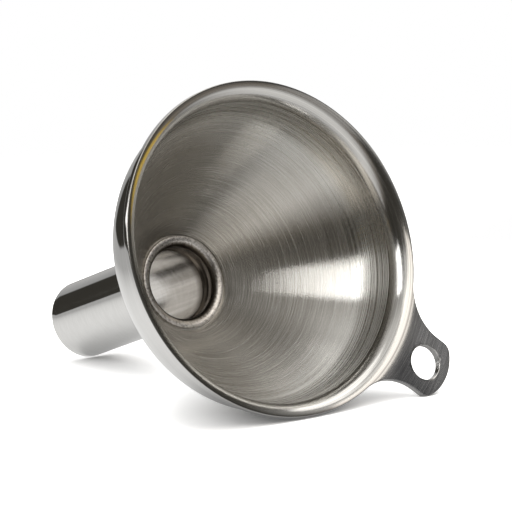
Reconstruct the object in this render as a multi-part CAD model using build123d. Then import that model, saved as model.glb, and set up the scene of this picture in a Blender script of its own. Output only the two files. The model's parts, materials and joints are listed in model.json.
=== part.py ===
from build123d import *

import math
import os

# Small stainless steel kitchen funnel, in millimetres, mouth upwards.
# The origin is the centre of the spout's outlet, the funnel's axis is +Z, and the hang tab points to +X.
# It is two pressed pieces: a thick sheet bowl with its hang tab, and a thin spout tube.
# The tube hangs by its flared lip from a ledge in the bowl's throat, and a bead rolled just under
# the bowl's sheet locks it there.

# Driving dimensions
MOUTH_RADIUS = 28.6            # outside of the rim
OVERALL_HEIGHT = 62.6          # outlet to the top face of the hang tab
SHEET = 1.2                    # bowl and tab
SPOUT_RADIUS = 7.0             # outside of the tube
TUBE_WALL = 0.6

# Bowl: a straight cone, a round shoulder, a short steep wall and a wide bend out into the rim.
# The radii are those of the inner face, the one that the liquid runs over.
CONE_HALF_ANGLE = 39.5         # degrees from the axis
SHOULDER_RADIUS = 8.0
WALL_LEAN = 3.0                # degrees from the axis
WALL_RADIUS = 25.9             # where the wall, drawn straight on, would meet the mouth's plane
RIM_BEND = 3.7

# Throat: a flat ledge, one sheet thick, at the foot of the cone
LEDGE_RADIUS = 8.5
LEDGE_Z = 33.5                 # its top face
CONE_FOOT_Z = LEDGE_Z + 0.4    # the lip sits in this shallow step
HOLE_RADIUS = 7.05             # passes the tube with a light clearance
HOLE_CHAMFER = 0.8             # clears the fillet under the lip

# Spout tube
LIP_RADIUS = 8.2
LIP_BEND = 1.4                 # rounded entry of the lip
LIP_EDGE = 0.25                # rounding of its outer edge
BEAD_DEPTH = 0.85              # how far the bead stands out from the tube
BEAD_HEIGHT = 2.6

# Hang tab
TAB_HALF_WIDTH = 5.35
TAB_REACH = 39.4               # axis to the tip
TAB_TIP_RADIUS = 8.0
TAB_CORNER = 2.2
TAB_BLEND = 9.0                # hollow flank between the tab and the rim
HANG_HOLE_X = 34.5
HANG_HOLE_RADIUS = 2.95

BLANK_MARGIN = 2.0             # how far the untrimmed blank runs past the finished outline


def cone_x(z, thickness=0.0):
    """Distance of the cone from the axis at height z; a thickness gives the cone's outer face."""
    lean = math.radians(CONE_HALF_ANGLE)
    return LEDGE_RADIUS + (z - CONE_FOOT_Z) * math.tan(lean) + thickness / math.cos(lean)


def wall_x(z, thickness=0.0):
    """The same for the wall above the shoulder."""
    lean = math.radians(WALL_LEAN)
    return WALL_RADIUS - (OVERALL_HEIGHT - z) * math.tan(lean) + thickness / math.cos(lean)


def shoulder_corner(thickness=0.0):
    """Where the straight lines of the cone and the wall cross."""
    closing = math.tan(math.radians(CONE_HALF_ANGLE)) - math.tan(math.radians(WALL_LEAN))
    z = (wall_x(0, thickness) - cone_x(0, thickness)) / closing
    return (cone_x(z, thickness), z)


def bowl_blank():
    """The pressed bowl before trimming, with its flange running out past the tab's tip."""
    flange_reach = TAB_REACH + BLANK_MARGIN
    flange_foot = OVERALL_HEIGHT - SHEET
    ledge_foot = LEDGE_Z - SHEET
    inner_rim = (WALL_RADIUS, OVERALL_HEIGHT)
    outer_rim = (wall_x(flange_foot, SHEET), flange_foot)
    inner_shoulder = shoulder_corner()
    outer_shoulder = shoulder_corner(SHEET)
    with BuildSketch(Plane.XZ) as profile:
        with BuildLine():
            Polyline(
                (HOLE_RADIUS, LEDGE_Z - HOLE_CHAMFER),
                (HOLE_RADIUS + HOLE_CHAMFER, LEDGE_Z),
                (LEDGE_RADIUS, LEDGE_Z),
                (LEDGE_RADIUS, CONE_FOOT_Z),
                inner_shoulder,
                inner_rim,
                (flange_reach, OVERALL_HEIGHT),
                (flange_reach, flange_foot),
                outer_rim,
                outer_shoulder,
                (cone_x(ledge_foot, SHEET), ledge_foot),
                (HOLE_RADIUS, ledge_foot),
                close=True,
            )
        make_face()
        for corner, radius in (
            (inner_shoulder, SHOULDER_RADIUS),
            (outer_shoulder, SHOULDER_RADIUS + SHEET),
            (inner_rim, RIM_BEND),
            (outer_rim, RIM_BEND - SHEET),
        ):
            fillet(profile.vertices().sort_by_distance(corner)[0], radius)
    return revolve(profile.sketch, Axis.Z)


def trim_outline():
    """Plan of the trimmed bowl: the rim's disc and the hang tab, blended by hollow flanks."""
    blend_y = TAB_HALF_WIDTH + TAB_BLEND
    blend_x = math.sqrt((MOUTH_RADIUS + TAB_BLEND) ** 2 - blend_y ** 2)
    rim_share = MOUTH_RADIUS / (MOUTH_RADIUS + TAB_BLEND)
    rim_end = (blend_x * rim_share, blend_y * rim_share)
    # the flank runs from straight down, seen from its centre, to the direction of rim_end
    flank_direction = (math.atan2(rim_end[1] - blend_y, rim_end[0] - blend_x) - math.radians(90)) / 2
    flank_middle = (
        blend_x + TAB_BLEND * math.cos(flank_direction),
        blend_y + TAB_BLEND * math.sin(flank_direction),
    )
    shoulder = (blend_x, TAB_HALF_WIDTH)
    tip_centre = TAB_REACH - TAB_TIP_RADIUS
    tip_corner = (tip_centre + math.sqrt(TAB_TIP_RADIUS ** 2 - TAB_HALF_WIDTH ** 2), TAB_HALF_WIDTH)

    def mirrored(point):
        return (point[0], -point[1])

    with BuildSketch() as plan:
        with BuildLine():
            ThreePointArc(rim_end, (-MOUTH_RADIUS, 0), mirrored(rim_end))
            ThreePointArc(mirrored(rim_end), mirrored(flank_middle), mirrored(shoulder))
            Line(mirrored(shoulder), mirrored(tip_corner))
            ThreePointArc(mirrored(tip_corner), (TAB_REACH, 0), tip_corner)
            Line(tip_corner, shoulder)
            ThreePointArc(shoulder, flank_middle, rim_end)
        make_face()
        tip_corners = plan.vertices().sort_by(Axis.X)[-2:]
        fillet(tip_corners, TAB_CORNER)
        with Locations((HANG_HOLE_X, 0)):
            Circle(HANG_HOLE_RADIUS, mode=Mode.SUBTRACT)
    return plan.sketch


def make_bowl():
    return bowl_blank() & extrude(trim_outline(), OVERALL_HEIGHT + BLANK_MARGIN)


def make_spout_tube():
    """Straight tube with a square outlet, the locking bead and the flared lip at the top."""
    bore = SPOUT_RADIUS - TUBE_WALL
    lip_top = LEDGE_Z + TUBE_WALL
    bead_top = LEDGE_Z - SHEET
    bead_middle = bead_top - BEAD_HEIGHT / 2
    bead_foot = bead_top - BEAD_HEIGHT
    groove_half = BEAD_HEIGHT / 2 - TUBE_WALL / 2
    with BuildSketch(Plane.XZ) as profile:
        with BuildLine():
            Line((bore, 0), (SPOUT_RADIUS, 0))
            Line((SPOUT_RADIUS, 0), (SPOUT_RADIUS, bead_foot))
            ThreePointArc(
                (SPOUT_RADIUS, bead_foot),
                (SPOUT_RADIUS + BEAD_DEPTH, bead_middle),
                (SPOUT_RADIUS, bead_top),
            )
            Polyline(
                (SPOUT_RADIUS, bead_top),
                (SPOUT_RADIUS, LEDGE_Z),
                (LIP_RADIUS, LEDGE_Z),
                (LIP_RADIUS, lip_top),
                (bore, lip_top),
                (bore, bead_middle + groove_half),
            )
            ThreePointArc(
                (bore, bead_middle + groove_half),
                (bore + BEAD_DEPTH, bead_middle),
                (bore, bead_middle - groove_half),
            )
            Line((bore, bead_middle - groove_half), (bore, 0))
        make_face()
        for x, z, radius in (
            (bore, lip_top, LIP_BEND),
            (SPOUT_RADIUS, LEDGE_Z, LIP_BEND - TUBE_WALL),
            (LIP_RADIUS, lip_top, LIP_EDGE),
        ):
            fillet(profile.vertices().sort_by_distance((x, z))[0], radius)
    return revolve(profile.sketch, Axis.Z)


os.makedirs("parts", exist_ok=True)
export_step(make_bowl(), "parts/bowl.step")
export_step(make_spout_tube(), "parts/spout_tube.step")
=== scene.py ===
import json
import math

import bmesh
import bpy
import numpy as np
from mathutils import Matrix, Vector


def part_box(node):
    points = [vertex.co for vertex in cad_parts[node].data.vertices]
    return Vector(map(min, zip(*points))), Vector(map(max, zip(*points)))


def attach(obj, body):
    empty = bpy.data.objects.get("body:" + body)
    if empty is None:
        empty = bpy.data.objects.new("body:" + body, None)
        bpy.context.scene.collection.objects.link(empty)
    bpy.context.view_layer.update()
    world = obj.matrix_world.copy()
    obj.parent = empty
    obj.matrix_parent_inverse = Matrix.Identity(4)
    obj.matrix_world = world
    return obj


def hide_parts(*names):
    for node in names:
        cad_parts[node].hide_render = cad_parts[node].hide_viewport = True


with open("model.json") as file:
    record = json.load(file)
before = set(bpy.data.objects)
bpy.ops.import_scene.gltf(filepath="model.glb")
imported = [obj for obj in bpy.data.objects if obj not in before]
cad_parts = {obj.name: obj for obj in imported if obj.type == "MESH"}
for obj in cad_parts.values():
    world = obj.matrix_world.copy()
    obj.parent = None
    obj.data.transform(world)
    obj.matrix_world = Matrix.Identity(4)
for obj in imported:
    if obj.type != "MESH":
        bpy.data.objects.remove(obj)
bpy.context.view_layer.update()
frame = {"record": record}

# Looks of a small polished steel funnel, in metres in the CAD frame: axis +Z, mouth up, hang tab towards +X.
# The two sheet metal pieces are rebuilt as smooth meshes in the places that the CAD frame gives.

MM = 0.001
MOUNTS = {m["name"]: m for m in frame["record"]["mounts"]}


# ---------------------------------------------------------------- sizes, from the frame

bowl_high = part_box("bowl")[1]
tube_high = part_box("spout_tube")[1]

MOUTH_Z = bowl_high.z                       # top face of the hang tab
MOUTH_RADIUS = bowl_high.y
TAB_REACH = bowl_high.x
SPOUT_RADIUS = MOUNTS["spout"]["dims"]["r_mm"] * MM
BORE_RADIUS = MOUNTS["spout_bore"]["dims"]["r_mm"] * MM
BEAD_FOOT_Z = MOUNTS["spout"]["dims"]["length_mm"] * MM
HANG_HOLE_X = MOUNTS["hang_hole"]["pos_m"][0]
HANG_HOLE_RADIUS = MOUNTS["hang_hole"]["dims"]["r_mm"] * MM
SHEET = MOUNTS["hang_hole"]["dims"]["length_mm"] * MM
TUBE_WALL = SPOUT_RADIUS - BORE_RADIUS
LIP_TOP_Z = tube_high.z
LIP_RADIUS = tube_high.x
LEDGE_Z = LIP_TOP_Z - TUBE_WALL

# Bowl section: a straight cone, a round shoulder, a steep wall and the wide bend out into the rim
CONE_LEAN = math.radians(39.5)
SHOULDER_RADIUS = 8.0 * MM
WALL_LEAN = math.radians(3.0)
WALL_RADIUS = 25.9 * MM                     # of the wall drawn straight on to the mouth's plane
RIM_BEND = 3.7 * MM
LEDGE_RADIUS = 8.5 * MM
CONE_FOOT_Z = LEDGE_Z + 0.4 * MM
LEDGE_HOLE = SPOUT_RADIUS + 0.05 * MM
HOLE_CHAMFER = 0.8 * MM

# Tube section
LIP_BEND = 1.4 * MM                         # rounded entry of the lip
LIP_EDGE = 0.25 * MM                        # rounding of its outer edge
OUTLET_EDGE = 0.12 * MM                     # rounding of the square cut end
BEAD_DEPTH = 0.85 * MM
LIP_DEPTH = 1.2 * MM                        # how far down the bore the lip's pitted metal reaches

# Plan of the hang tab
TAB_HALF_WIDTH = 5.35 * MM
TAB_TIP_RADIUS = 8.0 * MM
TAB_CORNER = 2.2 * MM
TAB_BLEND = 9.0 * MM
EDGE = 0.20 * MM                            # rounding of the trimmed edge
HOLE_EDGE = 0.14 * MM                       # rounding of the hang hole's edges

# Where the metal's finish, painted shade and painted sheen change; a pair of numbers is where a change begins
# and ends
RINGS_Z = MOUTH_Z - 13 * MM, MOUTH_Z - 9 * MM
PAINTED_SHADE_AZIMUTH = math.radians(163)           # painted shade: a faint brownish darkening low on this side of the cone
PAINTED_SHADE_Z = MOUTH_Z - 4 * MM, MOUTH_Z - 15 * MM
PAINTED_SHEEN_AZIMUTH = math.radians(-14)          # side of the bowl's inside that gets a painted sheen, lighter metal
PAINTED_SHEEN_Z = MOUTH_Z - 19 * MM, MOUTH_Z - 9 * MM
TAB_SHEEN_X = 29 * MM, 32 * MM
TAB_FLANK_X = 28 * MM, 31 * MM
TAB_FLANK_LEAN = 0.5                        # slope of the edge of the painted shade on the flank, which runs by the hang hole
TAB_FLANK_Y = 3.5 * MM, -6 * MM             # beside the hole
ARRIS_INNER = MOUTH_RADIUS - 0.45 * MM, MOUTH_RADIUS - 0.25 * MM
ARRIS_OUTER = MOUTH_RADIUS + 0.15 * MM, MOUTH_RADIUS + 0.05 * MM
ARRIS_Z = MOUTH_Z - 0.20 * MM, MOUTH_Z - 0.10 * MM
THROAT_SHADE_Z = BEAD_FOOT_Z - 2.0 * MM, BEAD_FOOT_Z + 0.4 * MM
LIP_SHADE_RADIUS = BORE_RADIUS + 1.05 * MM, BORE_RADIUS + 0.45 * MM
FACES_UP = 0.3                              # a face belongs to the side if its normal rises less than this
WHITE = (1, 1, 1, 1)

# Fineness of the meshes
RIM_COLUMNS = 320                           # round the rim, without the tab
TUBE_COLUMNS = 256
HOLE_COLUMNS = 96
BEND_STEPS = 80
FLANGE_STEPS = 24                           # rings from the wall over the bend to the edge's rounding
EDGE_STEPS = 5
SHARP_ANGLE = math.radians(38)              # edges sharper than this stay sharp


# ---------------------------------------------------------------- curves

def arc(centre, radius, start, end, steps, closed=False):
    """Points of an arc from one angle to another (radians), the last one left out unless closed."""
    angles = np.linspace(start, end, steps + 1)
    if not closed:
        angles = angles[:-1]
    return np.stack([centre[0] + radius * np.cos(angles), centre[1] + radius * np.sin(angles)], 1)


def straight(start, end, steps, closed=False):
    share = np.linspace(0, 1, steps + 1)
    if not closed:
        share = share[:-1]
    return np.outer(1 - share, start) + np.outer(share, end)


def bent(start, corner, end, steps):
    """A rounded corner: the curve leaves start towards the corner and arrives at end from it."""
    share = np.linspace(0, 1, steps + 1)
    near_start = np.outer((1 - share) ** 2, start)
    near_corner = np.outer(2 * share * (1 - share), corner)
    return near_start + near_corner + np.outer(share ** 2, end)


class Section:
    """A curve in the (radius, height) plane, read by its length."""

    def __init__(self, points):
        self.points = np.array(points, float)
        steps = np.linalg.norm(np.diff(self.points, axis=0), axis=1)
        self.length = np.concatenate([[0], np.cumsum(steps)])

    def at(self, length):
        return np.stack([np.interp(length, self.length, self.points[:, i]) for i in (0, 1)], -1)

    def length_at_radius(self, radius):
        return np.interp(radius, self.points[:, 0], self.length)


def outer_cone_point(z):
    """Point of the cone's outer face at height z."""
    radius = LEDGE_RADIUS + (z - CONE_FOOT_Z) * math.tan(CONE_LEAN) + SHEET / math.cos(CONE_LEAN)
    return np.array([radius, z])


def square_to(lean):
    """Unit vector, outwards and down, square to a line that leans out from the axis by this angle."""
    return np.array([math.cos(lean), -math.sin(lean)])


def bowl_centres():
    """Centres of the shoulder arc and of the rim bend."""
    bend_x = WALL_RADIUS + RIM_BEND * math.tan((math.pi / 2 - WALL_LEAN) / 2)
    bend = np.array([bend_x, MOUTH_Z - RIM_BEND])
    # the shoulder's centre lies its radius inside both the wall and the cone
    normals = np.array([square_to(WALL_LEAN), square_to(CONE_LEAN)])
    on_lines = np.array([(WALL_RADIUS, MOUTH_Z), (LEDGE_RADIUS, CONE_FOOT_Z)])
    shoulder = np.linalg.solve(normals, (normals * on_lines).sum(1) - SHOULDER_RADIUS)
    return shoulder, bend


# ---------------------------------------------------------------- the trimmed outline of rim and tab

def trim_outline():
    """Points of the outline seen from above and their outward normals, anticlockwise from the tab."""
    blend_y = TAB_HALF_WIDTH + TAB_BLEND
    blend_x = math.sqrt((MOUTH_RADIUS + TAB_BLEND) ** 2 - blend_y ** 2)
    rim_angle = math.atan2(blend_y, blend_x)
    tip_x = TAB_REACH - TAB_TIP_RADIUS
    corner_y = TAB_HALF_WIDTH - TAB_CORNER
    corner_reach = TAB_TIP_RADIUS - TAB_CORNER
    corner_x = tip_x + math.sqrt(corner_reach ** 2 - corner_y ** 2)
    corner_angle = math.atan2(corner_y, corner_x - tip_x)
    quarter = math.pi / 2
    # each curve with its centre, and 1 where the outline bulges outwards or -1 where it is hollow
    pieces = [
        (arc((tip_x, 0), TAB_TIP_RADIUS, 0, corner_angle, 10), (tip_x, 0), 1),
        (arc((corner_x, corner_y), TAB_CORNER, corner_angle, quarter, 9), (corner_x, corner_y), 1),
        (straight((corner_x, TAB_HALF_WIDTH), (blend_x, TAB_HALF_WIDTH), 4), None, 1),
        (arc((blend_x, blend_y), TAB_BLEND, -quarter, rim_angle - math.pi, 26), (blend_x, blend_y), -1),
        (arc((0, 0), MOUTH_RADIUS, rim_angle, math.pi, RIM_COLUMNS // 2), (0, 0), 1),
    ]
    points, normals = [], []
    for curve, centre, side in pieces:
        for point in curve:
            normal = np.array([0.0, 1.0]) if centre is None else (point - np.array(centre)) * side
            points.append(point)
            normals.append(normal / np.linalg.norm(normal))
    half_points, half_normals = np.array(points), np.array(normals)
    far_point = np.array([[-MOUTH_RADIUS, 0.0]])
    flip = np.array([1.0, -1.0])
    points = np.concatenate([half_points, far_point, (half_points[1:] * flip)[::-1]])
    normals = np.concatenate([half_normals, [[-1.0, 0.0]], (half_normals[1:] * flip)[::-1]])
    return points, normals


# ---------------------------------------------------------------- bowl mesh

def bowl_rings():
    """The bowl's surface as rings of points, from the hole in the ledge, over the rim and back again."""
    outline, normals = trim_outline()
    inset = outline - EDGE * normals
    azimuth = np.arctan2(inset[:, 1], inset[:, 0])
    direction = np.stack([np.cos(azimuth), np.sin(azimuth)], 1)
    shoulder, bend = bowl_centres()
    outer_shoulder = SHOULDER_RADIUS + SHEET
    reach = TAB_REACH + 1 * MM
    rings = []

    def flange(bend_radius, z):
        """Section of the rim bend and the flat beyond it, on one face of the sheet."""
        return Section(np.concatenate([
            arc(bend, bend_radius, math.pi - WALL_LEAN, math.pi / 2, BEND_STEPS),
            straight((bend[0], z), (reach, z), 2, True),
        ]))

    def turned(curve):
        for radius, height in curve:
            rings.append(np.column_stack([direction * radius, np.full(len(direction), height)]))

    def fanned(section, shares):
        """Rings between the section's start and the outline's inset, closer together on the bend."""
        last = section.length_at_radius(np.linalg.norm(inset, axis=1))
        middle = np.minimum(section.length_at_radius(bend[0]), last / 2)
        for share in shares:
            if share < 0.5:
                length = middle * share * 2
            else:
                length = middle + (last - middle) * (share * 2 - 1)
            at = section.at(length)
            rings.append(np.column_stack([direction * at[:, :1], at[:, 1]]))

    def edge_strip(section, drop, shares):
        """The rounding between the inset and the cut face."""
        corner_z = section.at(section.length_at_radius(np.linalg.norm(outline, axis=1)))[:, 1]
        inset_z = section.at(section.length_at_radius(np.linalg.norm(inset, axis=1)))[:, 1]
        on_face = np.column_stack([inset, inset_z])
        corner = np.column_stack([outline, corner_z])
        on_cut = np.column_stack([outline, corner_z + drop])
        for share in shares:
            rings.append((1 - share) ** 2 * on_face + 2 * share * (1 - share) * corner + share ** 2 * on_cut)

    top = flange(RIM_BEND, MOUTH_Z)
    under = flange(RIM_BEND - SHEET, MOUTH_Z - SHEET)
    ledge_foot = LEDGE_Z - SHEET
    hole_top = (LEDGE_HOLE, LEDGE_Z - HOLE_CHAMFER)
    chamfer_top = (LEDGE_HOLE + HOLE_CHAMFER, LEDGE_Z)
    cone_foot = (LEDGE_RADIUS, CONE_FOOT_Z)
    cone_top = shoulder + SHOULDER_RADIUS * square_to(CONE_LEAN)
    wall_foot = shoulder + SHOULDER_RADIUS * square_to(WALL_LEAN)
    outer_cone_top = shoulder + outer_shoulder * square_to(CONE_LEAN)
    outer_wall_foot = shoulder + outer_shoulder * square_to(WALL_LEAN)
    outer_cone_foot = outer_cone_point(ledge_foot)
    turned(straight((LEDGE_HOLE, ledge_foot), hole_top, 2))
    turned(straight(hole_top, chamfer_top, 2))
    turned(straight(chamfer_top, (LEDGE_RADIUS, LEDGE_Z), 3))
    turned(straight((LEDGE_RADIUS, LEDGE_Z), cone_foot, 2))
    turned(straight(cone_foot, cone_top, 20))
    turned(arc(shoulder, SHOULDER_RADIUS, -CONE_LEAN, -WALL_LEAN, 16))
    turned(straight(wall_foot, top.points[0], 5))
    fanned(top, np.linspace(0, 1, FLANGE_STEPS + 1)[:-1])
    edge_strip(top, -EDGE, np.linspace(0, 1, EDGE_STEPS + 1))
    edge_strip(under, EDGE, np.linspace(1, 0, EDGE_STEPS + 1))
    fanned(under, np.linspace(1, 0, FLANGE_STEPS + 1)[1:])
    turned(straight(under.points[0], outer_wall_foot, 4)[1:])
    turned(arc(shoulder, outer_shoulder, -WALL_LEAN, -CONE_LEAN, 16))
    turned(straight(outer_cone_top, outer_cone_foot, 20))
    turned(straight(outer_cone_foot, (LEDGE_HOLE, ledge_foot), 3))
    return rings


def ring_mesh(name, rings, closed):
    """A mesh of quads between neighbouring rings of points. Closed joins the last ring to the first;
    otherwise both ends are capped."""
    columns = len(rings[0])
    mesh = bmesh.new()
    grid = [[mesh.verts.new(point) for point in ring] for ring in rings]
    pairs = list(zip(grid, grid[1:]))
    if closed:
        pairs.append((grid[-1], grid[0]))
    for low, high in pairs:
        for j in range(columns):
            k = (j + 1) % columns
            mesh.faces.new((low[j], low[k], high[k], high[j]))
    if not closed:
        mesh.faces.new(grid[0][::-1])
        mesh.faces.new(grid[-1])
    bmesh.ops.recalc_face_normals(mesh, faces=mesh.faces)
    data = bpy.data.meshes.new(name)
    mesh.to_mesh(data)
    mesh.free()
    piece = bpy.data.objects.new(name, data)
    bpy.context.scene.collection.objects.link(piece)
    return piece


def lathe(curve, columns):
    """Rings of points from a curve in the (radius, height) plane."""
    angles = np.linspace(0, 2 * math.pi, columns, endpoint=False)
    direction = np.stack([np.cos(angles), np.sin(angles)], 1)
    return [np.column_stack([direction * r, np.full(columns, z)]) for r, z in curve]


def punch_hole(bowl):
    """The hang hole, cut with a spool-shaped punch so that both its edges come out rounded."""
    centre_z = MOUTH_Z - SHEET / 2
    overrun = 0.3 * HOLE_EDGE               # how far the punch stands out of the sheet
    punch_top = MOUTH_Z + overrun
    upper = bent((HANG_HOLE_RADIUS, MOUTH_Z - HOLE_EDGE), (HANG_HOLE_RADIUS, punch_top),
                 (HANG_HOLE_RADIUS + HOLE_EDGE + overrun, punch_top), 6)
    lower = (upper - (0, centre_z)) * (1, -1) + (0, centre_z)
    curve = np.concatenate([lower[::-1], upper])
    rings = [ring + (HANG_HOLE_X, 0, 0) for ring in lathe(curve, HOLE_COLUMNS)]
    punch = ring_mesh("punch", rings, False)
    cut = bowl.modifiers.new("hole", "BOOLEAN")
    cut.operation = "DIFFERENCE"
    cut.solver = "EXACT"
    cut.object = punch
    apply_modifiers(bowl)
    bpy.data.objects.remove(punch)


def apply_modifiers(piece):
    graph = bpy.context.evaluated_depsgraph_get()
    mesh = bpy.data.meshes.new_from_object(piece.evaluated_get(graph))
    piece.modifiers.clear()
    piece.data = mesh


def smooth(piece):
    piece.data.polygons.foreach_set("use_smooth", [True] * len(piece.data.polygons))
    piece.data.set_sharp_from_angle(angle=SHARP_ANGLE)
    piece.data.update()


def make_bowl():
    bowl = ring_mesh("bowl_body", bowl_rings(), True)
    punch_hole(bowl)
    smooth(bowl)
    return bowl


# ---------------------------------------------------------------- tube mesh

def tube_curve():
    """The tube's section, up its outside, over the lip and down the bore."""
    bead_top = LEDGE_Z - SHEET
    bead_middle = (bead_top + BEAD_FOOT_Z) / 2
    groove_half = (bead_top - BEAD_FOOT_Z) / 2 - TUBE_WALL / 2
    groove_top = bead_middle + groove_half
    groove_foot = bead_middle - groove_half
    neck = LIP_BEND - TUBE_WALL

    def swell(radius, z_from, z_to, steps):
        """The bead: a smooth bump of the wall between two heights."""
        share = np.linspace(0, 1, steps + 1)
        bump = np.sin(math.pi * share) ** 1.2
        return np.stack([radius + BEAD_DEPTH * bump, z_from + (z_to - z_from) * share], 1)

    outside = [
        bent((SPOUT_RADIUS - OUTLET_EDGE, 0), (SPOUT_RADIUS, 0), (SPOUT_RADIUS, OUTLET_EDGE), 4),
        straight((SPOUT_RADIUS, OUTLET_EDGE), (SPOUT_RADIUS, BEAD_FOOT_Z), 20, True)[1:-1],
        swell(SPOUT_RADIUS, BEAD_FOOT_Z, bead_top, 24),
        straight((SPOUT_RADIUS, bead_top), (SPOUT_RADIUS, LEDGE_Z - neck), 3, True)[1:],
        arc((SPOUT_RADIUS + neck, LEDGE_Z - neck), neck, math.pi, math.pi / 2, 5, True)[1:],
        bent((LIP_RADIUS - LIP_EDGE / 3, LEDGE_Z), (LIP_RADIUS, LEDGE_Z),
             (LIP_RADIUS, LEDGE_Z + LIP_EDGE / 3), 3),
        bent((LIP_RADIUS, LIP_TOP_Z - LIP_EDGE), (LIP_RADIUS, LIP_TOP_Z),
             (LIP_RADIUS - LIP_EDGE, LIP_TOP_Z), 8),
    ]
    inside = [
        arc((BORE_RADIUS + LIP_BEND, LIP_TOP_Z - LIP_BEND), LIP_BEND, math.pi / 2, math.pi, 16, True),
        straight((BORE_RADIUS, LIP_TOP_Z - LIP_BEND), (BORE_RADIUS, groove_top), 3, True)[1:-1],
        swell(BORE_RADIUS, groove_top, groove_foot, 20),
        straight((BORE_RADIUS, groove_foot), (BORE_RADIUS, OUTLET_EDGE), 24, True)[1:-1],
        bent((BORE_RADIUS, OUTLET_EDGE), (BORE_RADIUS, 0), (BORE_RADIUS + OUTLET_EDGE, 0), 4),
    ]
    return np.concatenate(outside + inside)


def make_tube():
    tube = ring_mesh("spout_tube_body", lathe(tube_curve(), TUBE_COLUMNS), True)
    smooth(tube)
    return tube


# ---------------------------------------------------------------- materials

class Nodes:
    """Short forms for building a node tree."""

    def __init__(self, tree):
        self.tree = tree

    def new(self, kind, **settings):
        node = self.tree.nodes.new(kind)
        for key, value in settings.items():
            setattr(node, key, value)
        return node

    def join(self, source, target):
        self.tree.links.new(source, target)

    def feed(self, socket, value):
        if hasattr(value, "is_output"):
            self.join(value, socket)
        else:
            socket.default_value = value

    def maths(self, operation, a, b=0.0, c=0.0):
        node = self.new("ShaderNodeMath", operation=operation)
        for socket, value in zip(node.inputs, (a, b, c)):
            self.feed(socket, value)
        return node.outputs[0]

    def vector(self, x, y, z):
        node = self.new("ShaderNodeCombineXYZ")
        for socket, value in zip(node.inputs, (x, y, z)):
            self.feed(socket, value)
        return node.outputs[0]

    def noise(self, vector, scale=1.0, detail=2.0, roughness=0.5):
        node = self.new("ShaderNodeTexNoise")
        self.join(vector, node.inputs["Vector"])
        node.inputs["Scale"].default_value = scale
        node.inputs["Detail"].default_value = detail
        node.inputs["Roughness"].default_value = roughness
        return node.outputs["Fac"]

    def span(self, value, low, high, to_low=0.0, to_high=1.0):
        """Leads smoothly from to_low to to_high while value goes from low, maybe downwards, to high."""
        node = self.new("ShaderNodeMapRange", interpolation_type="SMOOTHSTEP")
        settings = {"Value": value, "From Min": low, "From Max": high, "To Min": to_low, "To Max": to_high}
        for name, setting in settings.items():
            self.feed(node.inputs[name], setting)
        return node.outputs["Result"]

    def mix(self, share, a, b):
        """Leads from a to b, colours or values, while share goes from 0 to 1."""
        node = self.new("ShaderNodeMix", data_type="RGBA")
        self.feed(node.inputs["Factor"], share)
        for socket, value in ((node.inputs[6], a), (node.inputs[7], b)):
            self.feed(socket, value)
        return node.outputs[2]


def turned_coordinates(n):
    """Radius, direction from the axis and length along a slope, for marks that run round the funnel."""
    place = n.new("ShaderNodeTexCoord").outputs["Object"]
    split = n.new("ShaderNodeSeparateXYZ")
    n.join(place, split.inputs[0])
    x, y, z = split.outputs
    radius = n.maths("SQRT", n.maths("ADD", n.maths("MULTIPLY", x, x), n.maths("MULTIPLY", y, y)))
    safe = n.maths("MAXIMUM", radius, 1e-5)
    return {"place": place, "x": x, "y": y, "z": z, "radius": radius,
            "cos": n.maths("DIVIDE", x, safe), "sin": n.maths("DIVIDE", y, safe),
            "along": n.maths("ADD", radius, z)}


def round_streaks(n, at, along_scale, round_scale, detail=2.0):
    """Noise drawn out round the axis, like the marks of a polishing wheel on a turning bowl."""
    vector = n.vector(n.maths("MULTIPLY", at["cos"], round_scale),
                      n.maths("MULTIPLY", at["sin"], round_scale),
                      n.maths("MULTIPLY", at["along"], along_scale))
    return n.noise(vector, 1.0, detail, 0.6)


def towards(n, at, azimuth):
    """1 on the side at this azimuth, -1 on the side across from it."""
    return n.maths("ADD", n.maths("MULTIPLY", at["cos"], math.cos(azimuth)),
                   n.maths("MULTIPLY", at["sin"], math.sin(azimuth)))


def steel(name, build):
    material = bpy.data.materials.new(name)
    material.use_nodes = True
    tree = material.node_tree
    shader = tree.nodes["Principled BSDF"]
    shader.inputs["Metallic"].default_value = 1.0
    n = Nodes(tree)
    build(n, shader)
    return material


def bump(n, shader, height, strength, distance):
    node = n.new("ShaderNodeBump")
    node.inputs["Strength"].default_value = strength
    node.inputs["Distance"].default_value = distance
    n.join(height, node.inputs["Height"])
    n.join(node.outputs[0], shader.inputs["Normal"])


def across_marks(n, shader, anisotropic):
    """Marks run round the axis, so the light smears across them."""
    tangent = n.new("ShaderNodeTangent", direction_type="RADIAL", axis="Z")
    n.join(tangent.outputs[0], shader.inputs["Tangent"])
    shader.inputs["Anisotropic"].default_value = anisotropic
    shader.inputs["Anisotropic Rotation"].default_value = 0.25


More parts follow.
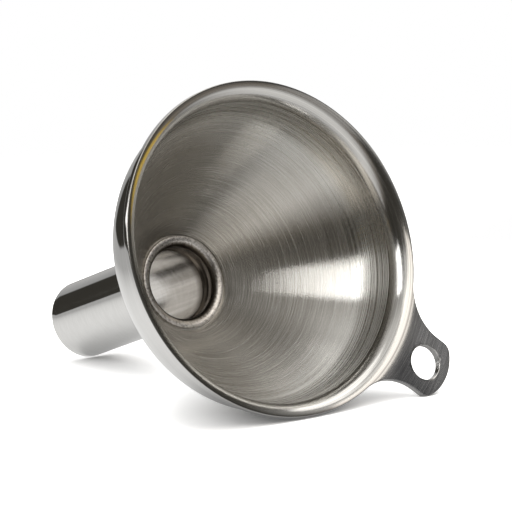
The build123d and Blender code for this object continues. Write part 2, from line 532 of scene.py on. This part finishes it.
def turned_satin(n, shader):
    """Inside of the bowl, finished with emery while the bowl turned; the wall keeps deeper rings. Painted
    shade darkens it low on one side of the cone and a painted sheen lightens another side.
    """
    at = turned_coordinates(n)
    fine = round_streaks(n, at, 8000, 1.5, 1)
    medium = round_streaks(n, at, 3200, 1.0, 1)
    wedge = n.noise(n.vector(n.maths("MULTIPLY", at["cos"], 2.2), n.maths("MULTIPLY", at["sin"], 2.2),
                             n.maths("MULTIPLY", at["along"], 25)), 1.0, 1)
    scratch = n.span(round_streaks(n, at, 7000, 3.0, 0), 0.64, 0.78)
    score = n.span(round_streaks(n, at, 6000, 2.2, 0), 0.36, 0.22)
    wall = n.span(at["z"], *RINGS_Z)
    rings = n.maths("MULTIPLY", wall, n.span(round_streaks(n, at, 6500, 0.6, 2), 0.42, 0.64))
    across_marks(n, shader, 1.0)
    rough = n.maths("MULTIPLY_ADD", medium, 0.10, n.maths("MULTIPLY_ADD", fine, 0.10, 0.145))
    rough = n.maths("MULTIPLY_ADD", rings, 0.14, n.maths("MULTIPLY_ADD", wall, -0.05, rough))
    n.feed(shader.inputs["Roughness"], rough)

    tone = n.maths("MULTIPLY_ADD", medium, 0.35, n.maths("MULTIPLY", wedge, 0.25))
    tone = n.maths("MULTIPLY_ADD", fine, 0.40, tone)
    metal = n.mix(n.span(tone, 0.36, 0.64), (0.49, 0.47, 0.43, 1), (0.72, 0.705, 0.67, 1))
    metal = n.mix(n.maths("MULTIPLY", score, 0.30), metal, (0.36, 0.34, 0.31, 1))
    light_marks = n.maths("MAXIMUM", n.maths("MULTIPLY", scratch, 0.16), n.maths("MULTIPLY", rings, 0.4))
    metal = n.mix(light_marks, metal, (0.90, 0.89, 0.86, 1))
    # painted shade: the cone is painted darker and brownish low on one side
    stain_and_painted_shade = n.maths("MULTIPLY", n.span(towards(n, at, PAINTED_SHADE_AZIMUTH), 0.35, 0.95),
                    n.span(at["z"], *PAINTED_SHADE_Z, 0.0, 0.8))
    metal = n.mix(stain_and_painted_shade, metal, (0.26, 0.24, 0.205, 1))
    # painted sheen: the bowl's inside is painted lighter on this side
    bright = n.maths("MULTIPLY", n.span(towards(n, at, PAINTED_SHEEN_AZIMUTH), 0.75, 0.97),
                     n.span(at["z"], *PAINTED_SHEEN_Z, 0.0, 0.8))
    metal = n.mix(bright, metal, (0.86, 0.85, 0.82, 1))
    n.feed(shader.inputs["Base Color"], metal)
    bump(n, shader, n.maths("MULTIPLY_ADD", medium, 0.7, fine), 0.22, 0.02 * MM)


def tab_sheen_and_shade(n, at, metal):
    """Painted sheen on the tab, lighter metal with its own brush marks, and painted shade on the lower flank.
    """
    marks = n.span(round_streaks(n, at, 9000, 5, 1), 0.38, 0.62)
    light = n.mix(marks, (0.58, 0.575, 0.56, 1), (0.92, 0.915, 0.90, 1))
    dark = n.mix(marks, (0.15, 0.15, 0.155, 1), (0.33, 0.33, 0.33, 1))
    # painted sheen: lighter metal painted over the tab
    metal = n.mix(n.span(at["x"], *TAB_SHEEN_X, 0.0, 0.7), metal, light)
    # painted shade: darker metal painted on the tab's lower flank beside the hang hole
    leaning_y = n.maths("MULTIPLY_ADD", n.maths("SUBTRACT", at["x"], HANG_HOLE_X), TAB_FLANK_LEAN, at["y"])
    flank = n.maths("MULTIPLY", n.span(at["x"], *TAB_FLANK_X), n.span(leaning_y, *TAB_FLANK_Y, 0.0, 0.85))
    return n.mix(flank, metal, dark)


def rim_satin(n, shader):
    """Rim and tab: the same marks, rubbed down finer, with painted sheen and shade on the tab and painted
    shade on the edge's top rounding.
    """
    at = turned_coordinates(n)
    fine = round_streaks(n, at, 8000, 0.9, 1)
    medium = round_streaks(n, at, 3000, 0.6, 1)
    across_marks(n, shader, 0.8)
    rough = n.maths("MULTIPLY_ADD", medium, 0.08, n.maths("MULTIPLY_ADD", fine, 0.08, 0.08))
    n.feed(shader.inputs["Roughness"], rough)

    tone = n.maths("MULTIPLY_ADD", fine, 0.5, n.maths("MULTIPLY", medium, 0.5))
    contrast = n.span(at["radius"], MOUTH_RADIUS, MOUTH_RADIUS + 3 * MM, 1.0, 0.7)
    tone = n.maths("MULTIPLY_ADD", n.maths("SUBTRACT", tone, 0.5), contrast, 0.5)
    metal = n.mix(n.span(tone, 0.34, 0.66), (0.52, 0.505, 0.48, 1), (0.70, 0.69, 0.665, 1))
    metal = tab_sheen_and_shade(n, at, metal)
    # painted shade: the top rounding of the rim's edge is painted darker, but not on the tab
    edge_shade = n.maths("MULTIPLY", n.span(at["radius"], *ARRIS_INNER), n.span(at["radius"], *ARRIS_OUTER))
    edge_shade = n.maths("MULTIPLY", edge_shade, n.span(at["z"], *ARRIS_Z, 0.0, 0.6))
    n.feed(shader.inputs["Base Color"], n.mix(edge_shade, metal, (0.20, 0.19, 0.18, 1)))
    bump(n, shader, n.maths("MULTIPLY_ADD", medium, 0.8, fine), 0.16, 0.02 * MM)


def polished(n, shader):
    """Outside of the bowl and the tube: mirror polish with a few faint marks round the axis."""
    at = turned_coordinates(n)
    fine = round_streaks(n, at, 3000, 3)
    n.feed(shader.inputs["Roughness"], n.maths("MULTIPLY_ADD", fine, 0.03, 0.05))
    metal = n.mix(n.span(fine, 0.3, 0.7), (0.65, 0.645, 0.63, 1), (0.68, 0.675, 0.66, 1))
    n.feed(shader.inputs["Base Color"], metal)
    bump(n, shader, n.noise(at["place"], 120, 2), 0.05, 0.2 * MM)


def bore_satin(n, shader):
    """Inside of the tube: plain drawn steel, with painted shade from the bead's groove upwards."""
    at = turned_coordinates(n)
    fine = round_streaks(n, at, 2500, 2.5, 2)
    lengthwise = n.noise(n.vector(n.maths("MULTIPLY", at["cos"], 12), n.maths("MULTIPLY", at["sin"], 12),
                                  n.maths("MULTIPLY", at["z"], 60)), 1.0, 2)
    n.feed(shader.inputs["Roughness"], n.maths("MULTIPLY_ADD", fine, 0.10, 0.14))
    tone = n.maths("MULTIPLY_ADD", fine, 0.4, n.maths("MULTIPLY", lengthwise, 0.6))
    metal = n.mix(n.span(tone, 0.3, 0.7), (0.58, 0.555, 0.52, 1), (0.72, 0.70, 0.67, 1))
    # painted shade: the bore is painted dark from the bead's groove upwards
    throat_shade = n.span(at["z"], *THROAT_SHADE_Z)
    n.feed(shader.inputs["Base Color"], n.mix(throat_shade, metal, (0.16, 0.14, 0.12, 1)))
    bump(n, shader, tone, 0.1, 0.03 * MM)


def lip_satin(n, shader):
    """The flared lip, rolled over and left slightly pitted and stained, with painted shade on its inner edge.
    """
    at = turned_coordinates(n)
    fine = round_streaks(n, at, 6000, 9, 3)
    stain_and_painted_shade = n.noise(at["place"], 2600, 3, 0.7)
    n.feed(shader.inputs["Roughness"], n.maths("MULTIPLY_ADD", stain_and_painted_shade, 0.25, 0.18))
    tone = n.maths("MULTIPLY_ADD", fine, 0.35, n.maths("MULTIPLY", stain_and_painted_shade, 0.65))
    metal = n.mix(n.span(tone, 0.35, 0.65), (0.38, 0.35, 0.32, 1), (0.78, 0.75, 0.71, 1))
    # painted shade: a dark ragged ring painted on the lip's inner edge, where it curls into the bore
    ragged_radius = n.maths("MULTIPLY_ADD", stain_and_painted_shade, 0.4 * MM, at["radius"])
    lip_shade = n.span(ragged_radius, *LIP_SHADE_RADIUS)
    n.feed(shader.inputs["Base Color"], n.mix(lip_shade, metal, (0.15, 0.13, 0.11, 1)))
    bump(n, shader, tone, 0.4, 0.03 * MM)


# ---------------------------------------------------------------- pieces

def in_order(piece, materials, zone):
    """Gives the piece its materials and each face the one that zone(face) names."""
    for material in materials.values():
        piece.data.materials.append(material)
    names = list(materials)
    for face in piece.data.polygons:
        face.material_index = names.index(zone(face))


def outwards(face):
    """Above 0 where the face looks away from the funnel's axis."""
    return face.normal.x * face.center.x + face.normal.y * face.center.y


def bowl_zone(face):
    underneath = face.normal.z < -FACES_UP
    side = outwards(face) > 0 and face.normal.z < FACES_UP
    if underneath or side:
        return "outside"
    return "rim" if face.center.z > MOUTH_Z - RIM_BEND else "inside"


def tube_zone(face):
    if outwards(face) > 0 and face.center.z < LEDGE_Z:
        return "outside"
    return "lip" if face.center.z > LIP_TOP_Z - LIP_DEPTH else "bore"


bowl = make_bowl()
in_order(bowl, {"inside": steel("bowl turned satin", turned_satin), "rim": steel("rim fine satin", rim_satin),
                "outside": steel("bowl polished", polished)}, bowl_zone)
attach(bowl, "root")
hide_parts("bowl")

tube = make_tube()
in_order(tube, {"outside": steel("tube polished", polished), "lip": steel("tube lip", lip_satin),
                "bore": steel("tube bore", bore_satin)}, tube_zone)
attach(tube, "root")
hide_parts("spout_tube")


# ---------------------------------------------------------------- the way it lies

# The funnel lies on its side, on the spout's end, the rim and the tab's corner. The floor is laid through
# the first two; the corner dips 0.3 mm into it.
REST_AZIMUTH = math.radians(-47.4)
RIM_TOUCH_Z = MOUTH_Z - 1.3 * MM            # where the rim's cut face meets the floor
toward_floor = Vector((math.cos(REST_AZIMUTH), math.sin(REST_AZIMUTH), 0))
rim_touch = toward_floor * MOUTH_RADIUS + Vector((0, 0, RIM_TOUCH_Z))
spout_touch = toward_floor * SPOUT_RADIUS
along_floor = (rim_touch - spout_touch).normalized()
across_floor = along_floor.cross(Vector((0, 0, 1)).cross(toward_floor)).normalized()
floor_up = -across_floor if across_floor.dot(toward_floor) > 0 else across_floor

CAMERA_LENS = 211                           # millimetres, for the sensor below
CAMERA_SENSOR = 36
CAMERA_AZIMUTH = math.radians(-127.6)
CAMERA_ELEVATION = math.radians(53.99)
CAMERA_ROLL = math.radians(-1.4)
CAMERA_DISTANCE = 0.4977
aim = Vector((-1.47 * MM, -2.33 * MM, MOUTH_Z - 2.23 * MM))
view = Vector((math.cos(CAMERA_ELEVATION) * math.cos(CAMERA_AZIMUTH),
               math.cos(CAMERA_ELEVATION) * math.sin(CAMERA_AZIMUTH), math.sin(CAMERA_ELEVATION)))
view_right = floor_up.cross(view).normalized()
view_up = view.cross(view_right)


def make_camera():
    data = bpy.data.cameras.new("camera")
    data.lens = CAMERA_LENS
    data.sensor_width = CAMERA_SENSOR
    camera = bpy.data.objects.new("camera", data)
    bpy.context.scene.collection.objects.link(camera)
    camera.location = aim + view * CAMERA_DISTANCE
    roll = Matrix.Rotation(CAMERA_ROLL, 3, "Z")
    camera.rotation_euler = (Matrix((view_right, view_up, view)).transposed() @ roll).to_euler()
    bpy.context.scene.camera = camera


# Studio directions, on the floor: away from the camera, to its right, and up
away = (-view + view.dot(floor_up) * floor_up).normalized()
aside = away.cross(floor_up).normalized()


def studio_direction(azimuth, elevation):
    """Azimuth 0 is straight away from the camera and 90 to its right; elevation is above the floor."""
    a, e = math.radians(azimuth), math.radians(elevation)
    return (away * math.cos(a) + aside * math.sin(a)) * math.cos(e) + floor_up * math.sin(e)


# ---------------------------------------------------------------- lights

subject = Vector((0, 0, MOUTH_Z * 0.6))     # what the lamps point at


def softbox(name, azimuth, elevation, distance, width, height, radiance, colour=(1, 1, 1)):
    data = bpy.data.lights.new(name, "AREA")
    data.shape = "RECTANGLE"
    data.size, data.size_y = width, height
    data.energy = radiance * math.pi * width * height
    data.color = colour
    lamp = bpy.data.objects.new(name, data)
    bpy.context.scene.collection.objects.link(lamp)
    direction = studio_direction(azimuth, elevation)
    lamp.location = subject + direction * distance
    straight_overhead = elevation > 89
    side = aside if straight_overhead else floor_up.cross(direction).normalized()
    top = direction.cross(side)
    lamp.rotation_euler = Matrix((side, top, direction)).transposed().to_euler()
    lamp.visible_camera = False
    return lamp


softbox("key", azimuth=-141, elevation=35.2, distance=0.9, width=0.325, height=0.405, radiance=3.9)
softbox("front right", azimuth=134, elevation=43, distance=0.9, width=0.84, height=0.50, radiance=1.5,
        colour=(1.0, 0.955, 0.90))
table_light = softbox("table", azimuth=0, elevation=90, distance=1.2, width=1.2, height=1.2, radiance=1.1)
table_light.visible_glossy = False


# ---------------------------------------------------------------- floor

FLOOR_RADIUS = 0.9
FLOOR_DROP = 0.1 * MM                       # keeps the bowl's shoulder from poking through
FLOOR_FRONT = 0.15                          # from under the funnel to the table's front edge
FLOOR_RIGHT = 0.13                          # and to its right edge
FLOOR_EDGE = 0.02                           # over which those two edges fade
FLOOR_SEEN = 0.30                           # the camera sees plain white beyond this
GAP_AZIMUTH = math.radians(45)              # a sector left out, so that the metal mirrors what lies below it
GAP_HALF_WIDTH = math.radians(27), math.radians(23)
GAP_START = 0.135, 0.155
SHADE_AZIMUTH = math.radians(43)            # the metal sees the floor darkest in this direction
SHADE_SPREAD = math.radians(18), math.radians(75)
SIDES_MEET = -0.01, 0.01                    # the two fadings below take over from each other here
LEFT_FADING = 0.03, 0.16                    # distances over which the mirrored floor darkens
RIGHT_RISE = 0.035, 0.070
RIGHT_FADING = 0.08, 0.15
CONTACT_REACH = 0.009                       # of the soft shadow where metal meets floor


def floor_ends(n, x, y, distance, turn):
    """1 where the table top is clear: far out, in front, on the right and in the gap."""
    around = n.span(distance, FLOOR_RADIUS * 0.5, FLOOR_RADIUS * 0.95)
    front = n.span(y, -FLOOR_FRONT, -FLOOR_FRONT - FLOOR_EDGE)
    beside = n.span(x, FLOOR_RIGHT, FLOOR_RIGHT + FLOOR_EDGE)
    from_gap = n.maths("ABSOLUTE", n.maths("SUBTRACT", turn, GAP_AZIMUTH))
    gap = n.maths("MULTIPLY", n.span(distance, *GAP_START), n.span(from_gap, *GAP_HALF_WIDTH))
    return n.maths("MAXIMUM", n.maths("MAXIMUM", around, gap), n.maths("MAXIMUM", front, beside))


def floor_shade(n, x, distance, turn):
    """How bright the metal sees the floor, which falls off with distance and towards one direction."""
    from_shade = n.maths("ABSOLUTE", n.maths("SUBTRACT", turn, SHADE_AZIMUTH))
    shade = n.span(from_shade, *SHADE_SPREAD, 0.16, 1.0)
    left = n.span(distance, *LEFT_FADING, 1.0, 0.52)
    right = n.maths("MULTIPLY", n.span(distance, *RIGHT_RISE, 0.58, 1.0),
                    n.span(distance, *RIGHT_FADING, 0.92, 0.50))
    return n.maths("MULTIPLY", shade, n.span(x, *SIDES_MEET, left, right))


def floor_light(n, shade, is_camera):
    """Lit paper with a glow of its own: white with a contact shadow to the camera, shaded to the metal."""
    paper = n.new("ShaderNodeBsdfDiffuse")
    n.feed(paper.inputs["Color"], n.mix(is_camera, n.maths("MULTIPLY", shade, 0.34), WHITE))
    contact = n.new("ShaderNodeAmbientOcclusion", samples=8)
    contact.inputs["Distance"].default_value = CONTACT_REACH
    openness = contact.outputs["AO"]
    seen = n.maths("MULTIPLY", n.maths("POWER", openness, 1.1), 0.80)
    mirrored = n.maths("MULTIPLY", n.maths("MULTIPLY", shade, 0.64), n.span(openness, 0.15, 0.80, 0.50, 1.0))
    glow = n.new("ShaderNodeEmission")
    n.feed(glow.inputs["Strength"], n.mix(is_camera, mirrored, seen))
    lit = n.new("ShaderNodeAddShader")
    n.join(paper.outputs[0], lit.inputs[0])
    n.join(glow.outputs[0], lit.inputs[1])
    return lit.outputs[0]


def floor_material():
    material = bpy.data.materials.new("floor")
    material.use_nodes = True
    tree = material.node_tree
    tree.nodes.clear()
    n = Nodes(tree)
    place = n.new("ShaderNodeTexCoord").outputs["Object"]
    split = n.new("ShaderNodeSeparateXYZ")
    n.join(place, split.inputs[0])
    x, y = split.outputs["X"], split.outputs["Y"]
    length = n.new("ShaderNodeVectorMath", operation="LENGTH")
    n.join(place, length.inputs[0])
    distance = length.outputs["Value"]
    turn = n.maths("ARCTAN2", x, y)
    is_camera = n.new("ShaderNodeLightPath").outputs["Is Camera Ray"]
    from_below = n.new("ShaderNodeNewGeometry").outputs["Backfacing"]

    far_seen = n.maths("MULTIPLY", is_camera, n.span(distance, FLOOR_SEEN * 0.6, FLOOR_SEEN))
    clear = n.maths("MAXIMUM", floor_ends(n, x, y, distance, turn), n.maths("MAXIMUM", far_seen, from_below))
    blend = n.new("ShaderNodeMixShader")
    n.join(clear, blend.inputs[0])
    n.join(floor_light(n, floor_shade(n, x, distance, turn), is_camera), blend.inputs[1])
    n.join(n.new("ShaderNodeBsdfTransparent").outputs[0], blend.inputs[2])
    n.join(blend.outputs[0], n.new("ShaderNodeOutputMaterial").inputs[0])
    return material


def make_floor():
    """A white table top that ends a little way in front of the funnel and fades out all round."""
    data = bpy.data.meshes.new("floor")
    mesh = bmesh.new()
    bmesh.ops.create_circle(mesh, cap_ends=True, segments=96, radius=FLOOR_RADIUS)
    mesh.to_mesh(data)
    mesh.free()
    floor = bpy.data.objects.new("floor", data)
    bpy.context.scene.collection.objects.link(floor)
    floor.rotation_euler = Matrix((aside, away, floor_up)).transposed().to_euler()
    floor.location = (rim_touch + spout_touch) / 2 - floor_up * FLOOR_DROP
    floor.data.materials.append(floor_material())


# ---------------------------------------------------------------- the room that the metal mirrors

ROOM_DARK = (0.045, 0.042, 0.036, 1)
ROOM_CEILING = (0.76, 0.75, 0.73, 1)
ROOM_BELOW_TABLE = (0.23, 0.205, 0.18, 1)
WALL_LEFT = (0.40, 0.40, 0.40, 1)
WALL_FOOT = (0.50, 0.49, 0.47, 1)
WALL_HEAD = (1.35, 1.34, 1.32, 1)
PANEL = (1.9, 1.87, 1.83, 1)
PANEL_CORNERS = ((-0.22, -0.16), (0.50, 0.10), (0.76, 0.55), (0.26, 1.0))
PANEL_SOFTNESS = 0.015

# Azimuth, half width, foot, head and softness in degrees, and the colour. Later ones cover earlier ones.
CARDS = (
    (134, 15, -12, 0, 3, (0.42, 0.41, 0.40, 1)),        # low, on the right in front
    (-92, 34, 16, 60, 8, (0.42, 0.41, 0.39, 1)),        # wide and soft, on the left
    (-75, 14.5, 6, 24, 1.5, (1.9, 1.88, 1.85, 1)),      # makes the white line on the rim's edge
    (115, 26, 6, 30, 8, (0.17, 0.17, 0.175, 1)),        # dim, on the right
    (178, 15, 31, 52, 4, (0.60, 0.595, 0.58, 1)),       # on the camera's side
    (127, 7, 3, 22, 3, (0.85, 0.84, 0.82, 1)),          # narrow, on the right in front
    (48, 26, -21, 0, 2, (0.80, 0.56, 0.12, 1)),         # a golden object below the table's edge
)


def make_room():
    """White to the camera; to the metal, a dim warm room with a pale wall behind and a grey ceiling."""
    world = bpy.data.worlds.new("studio")
    bpy.context.scene.world = world
    world.use_nodes = True
    tree = world.node_tree
    tree.nodes.clear()
    n = Nodes(tree)
    direction = n.new("ShaderNodeTexCoord").outputs["Generated"]

    def part(axis):
        """How much of the direction of view lies along an axis."""
        node = n.new("ShaderNodeVectorMath", operation="DOT_PRODUCT")
        n.join(direction, node.inputs[0])
        node.inputs[1].default_value = axis
        return node.outputs["Value"]

    def step(angle, low, high):
        """0 to 1 while an angle goes from low to high, in degrees."""
        return n.span(angle, math.radians(low), math.radians(high))

    elevation = n.maths("ARCSINE", part(floor_up))

    def patch(azimuth, half_width, foot, head, soft):
        """1 inside a part of the room given in degrees, 0 outside."""
        ahead = part(studio_direction(azimuth, 0))
        turn = n.maths("ARCTAN2", part(studio_direction(azimuth + 90, 0)), ahead)
        across = step(n.maths("ABSOLUTE", turn), half_width + soft, half_width - soft)
        above = step(elevation, foot - soft, foot + soft)
        below = step(elevation, head + soft, head - soft)
        return n.maths("MULTIPLY", across, n.maths("MULTIPLY", above, below))

    def overhead(corners):
        """1 inside a panel whose corners are given in heights of the panel: to the right and away."""
        rays = [(aside * x + away * y + floor_up).normalized() for x, y in corners]
        inside = 1.0
        for ray, following in zip(rays, rays[1:] + rays[:1]):
            side = part(ray.cross(following).normalized())
            inside = n.maths("MULTIPLY", inside, n.span(side, -PANEL_SOFTNESS, PANEL_SOFTNESS))
        return inside

    room = n.mix(step(elevation, 31, 70), ROOM_DARK, ROOM_CEILING)
    room = n.mix(step(elevation, -3, -9), room, ROOM_BELOW_TABLE)
    wall = n.mix(step(elevation, -5, 35), WALL_FOOT, WALL_HEAD)
    wall = n.mix(step(n.maths("ARCTAN2", part(aside), part(away)), -33, 10), WALL_LEFT, wall)
    room = n.mix(patch(-2, 32, -5, 52, 1.5), room, wall)
    room = n.mix(overhead(PANEL_CORNERS), room, PANEL)
    for azimuth, half_width, foot, head, soft, colour in CARDS:
        room = n.mix(patch(azimuth, half_width, foot, head, soft), room, colour)
    is_camera = n.new("ShaderNodeLightPath").outputs["Is Camera Ray"]
    background = n.new("ShaderNodeBackground")
    n.join(n.mix(is_camera, room, WHITE), background.inputs["Color"])
    n.join(background.outputs[0], n.new("ShaderNodeOutputWorld").inputs[0])


make_camera()
make_floor()
make_room()
bpy.context.scene.view_settings.view_transform = "Standard"
